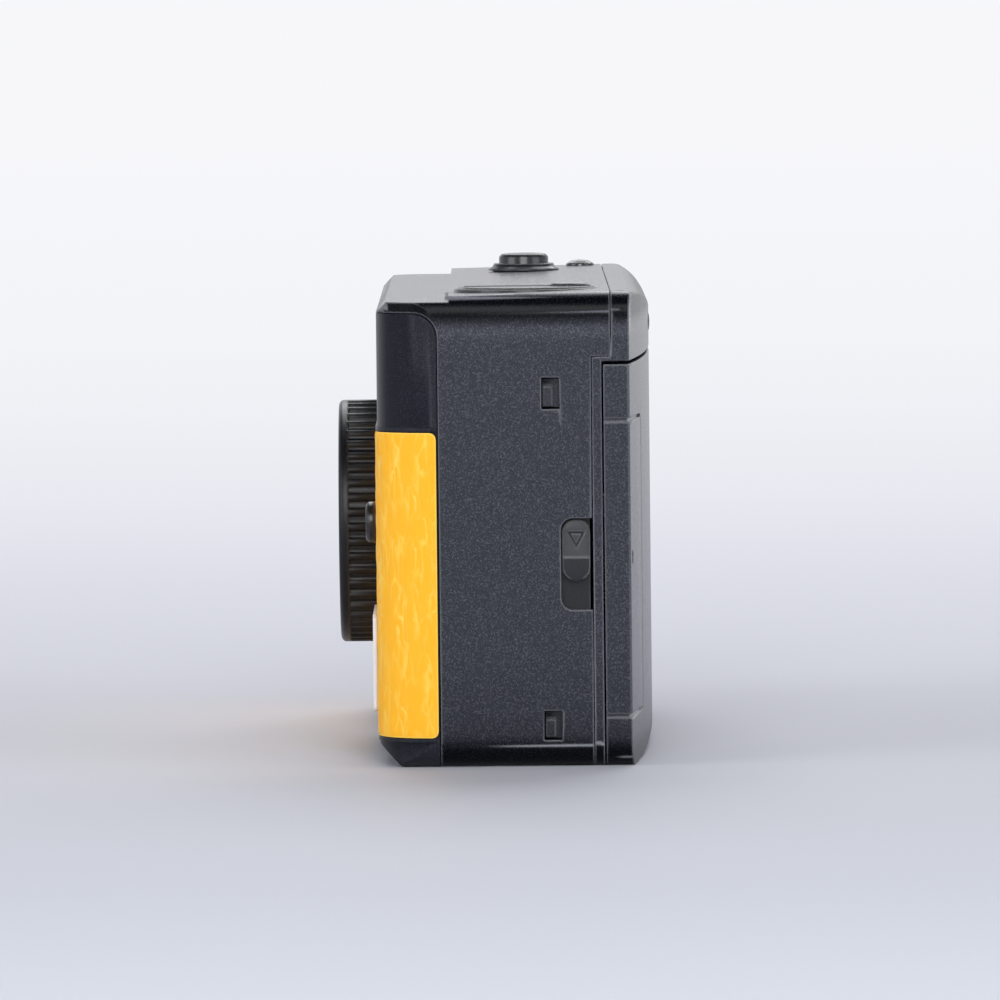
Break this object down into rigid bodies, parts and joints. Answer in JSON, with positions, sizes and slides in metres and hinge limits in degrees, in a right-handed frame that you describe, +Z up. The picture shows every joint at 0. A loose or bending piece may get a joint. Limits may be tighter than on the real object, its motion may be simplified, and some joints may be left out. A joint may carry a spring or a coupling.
{
  "type": "film camera",
  "caption": "Compact reusable film camera with a ribbed lens ring, yellow leatherette front, built-in flash, thumb-wheel advance, folding rewind crank and latched back door.",
  "frame": {"origin": "on the underside, below the lens axis, in the film plane", "axes": "+Z up; the lens looks along -Y; +X is the film cartridge end, the viewer's left"},
  "size_m": [0.1194, 0.0428, 0.0654],
  "materials": {
    "cover_black": "fine moulded",
    "shell_black": "spark eroded",
    "chassis_black": "moulded matt",
    "yellow_skin": "embossed grain",
    "lens_black": "satin",
    "gloss_black": "gloss",
    "lens_glass": "coated",
    "clear_plastic": "clear moulded",
    "white_plastic": "satin white",
    "steel": "plated",
    "spring_steel": "bright",
    "mirror_metal": "polished",
    "board_green": "solder mask",
    "can_sleeve": "shrink sleeve",
    "ferrite": "matt",
    "foam": "foam",
    "dial_white": "printed",
    "lamp_red": "clear red"
  },
  "bodies": {
    "camera_body": {"front_cover": "cover_black", "leatherette_wrap": "yellow_skin", "middle_shell": "shell_black", "rear_frame": "shell_black", "film_chassis": "chassis_black", "chassis_floor": "chassis_black", "cartridge_chamber_wall": "chassis_black", "take_up_chamber_wall": "chassis_black", "battery_bay_case": "chassis_black", "light_box": "chassis_black", "lens_ring": "lens_black", "lens_bezel": "gloss_black", "lens_barrel": "lens_black", "front_lens_element": "lens_glass", "aperture_plate": "chassis_black", "rear_lens_element": "lens_glass", "shutter_plate": "chassis_black", "white_plate": "white_plastic", "flash_window": "clear_plastic", "flash_reflector": "mirror_metal", "flash_tube": "lens_glass", "flash_capacitor": "can_sleeve", "flash_circuit_board": "board_green", "flash_transformer": "ferrite", "viewfinder_front_lens": "clear_plastic", "viewfinder_tunnel": "chassis_black", "viewfinder_eyepiece": "clear_plastic", "flash_ready_lamp": "lamp_red", "counter_window": "clear_plastic", "battery_contacts": "spring_steel", "battery_hinge_pins": "steel", "body_screws": "steel", "rewind_collar": "gloss_black", "shutter_button_collar": "gloss_black", "shutter_button_spring": "spring_steel", "latch_spring": "spring_steel", "door_hinge_pin": "steel", "strap_bar": "steel"},
    "back_door": {"back_door": "shell_black", "pressure_spring": "spring_steel", "light_seal": "foam"},
    "pressure_plate": {"pressure_plate": "chassis_black"},
    "latch_slider": {"latch_slider": "gloss_black"},
    "shutter_button": {"shutter_button": "gloss_black"},
    "rewind_sleeve": {"rewind_sleeve": "steel"},
    "rewind_crank": {"rewind_shaft": "steel", "crank_disc": "gloss_black"},
    "crank_arm": {"crank_arm": "gloss_black"},
    "crank_knob": {"crank_knob": "gloss_black"},
    "film_advance": {"thumb_wheel": "gloss_black", "take_up_spool": "chassis_black"},
    "sprocket": {"sprocket_roller": "chassis_black"},
    "counter": {"counter_disc": "dial_white"},
    "rewind_release": {"rewind_release_button": "gloss_black"},
    "flash_switch": {"flash_switch": "gloss_black"},
    "battery_door": {"battery_door": "shell_black"},
    "shutter_blade": {"shutter_blade": "steel"}
  },
  "joints": [
    {"name": "door_hinge", "type": "hinge", "parent": "camera_body", "child": "back_door", "pos_m": [-0.0575, 0.0036, 0.027], "axis": [0, 0, 1], "range_deg": [0, 135]},
    {"name": "pressure_plate_float", "type": "slide", "parent": "back_door", "child": "pressure_plate", "axis": [0, 1, 0], "range_m": [0, 0.0006], "stiffness_N_per_m": 400, "deforming": ["pressure_spring"]},
    {"name": "latch_slide", "type": "slide", "parent": "camera_body", "child": "latch_slider", "axis": [0, 0, -1], "range_m": [0, 0.0036], "stiffness_N_per_m": 150, "deforming": ["latch_spring"]},
    {"name": "shutter_press", "type": "slide", "parent": "camera_body", "child": "shutter_button", "axis": [0, 0, -1], "range_m": [0, 0.001], "stiffness_N_per_m": 1200, "deforming": ["shutter_button_spring"]},
    {"name": "rewind_lift", "type": "slide", "parent": "camera_body", "child": "rewind_sleeve", "axis": [0, 0, 1], "range_m": [0, 0.005]},
    {"name": "rewind_spin", "type": "hinge", "parent": "rewind_sleeve", "child": "rewind_crank", "pos_m": [0.0426, -0.0079, 0.058], "axis": [0, 0, 1], "continuous": true},
    {"name": "crank_fold", "type": "hinge", "parent": "rewind_crank", "child": "crank_arm", "pos_m": [0.0426, -0.0137, 0.06288], "axis": [1, 0, 0], "range_deg": [0, 150]},
    {"name": "crank_knob_spin", "type": "hinge", "parent": "crank_arm", "child": "crank_knob", "pos_m": [0.0426, -0.0021, 0.06343], "axis": [0, 0, 1], "continuous": true},
    {"name": "advance_spin", "type": "hinge", "parent": "camera_body", "child": "film_advance", "pos_m": [-0.0435, -0.0052, 0.03], "axis": [0, 0, 1], "continuous": true},
    {"name": "counter_spin", "type": "hinge", "parent": "camera_body", "child": "counter", "pos_m": [-0.04949, -0.0012, 0.0593], "axis": [0, 0, 1], "continuous": true},
    {"name": "sprocket_spin", "type": "hinge", "parent": "camera_body", "child": "sprocket", "pos_m": [-0.027, -0.00605, 0.03], "axis": [0, 0, 1], "continuous": true},
    {"name": "rewind_release_press", "type": "slide", "parent": "camera_body", "child": "rewind_release", "axis": [0, 0, 1], "range_m": [0, 0.0008], "stiffness_N_per_m": 600},
    {"name": "flash_switch_slide", "type": "slide", "parent": "camera_body", "child": "flash_switch", "axis": [0, 0, -1], "range_m": [0, 0.004]},
    {"name": "battery_door_hinge", "type": "hinge", "parent": "camera_body", "child": "battery_door", "pos_m": [0.0057, -0.006, 0.0009], "axis": [1, 0, 0], "range_deg": [0, 100]},
    {"name": "shutter_blade_swing", "type": "hinge", "parent": "camera_body", "child": "shutter_blade", "pos_m": [0.009, -0.0213, 0.0363], "axis": [0, 1, 0], "range_deg": [0, 40], "stiffness_Nm_per_rad": 0.0005}
  ],
  "couplings": [
    {"joint": "counter_spin", "follows": "advance_spin", "ratio": -0.025}
  ]
}
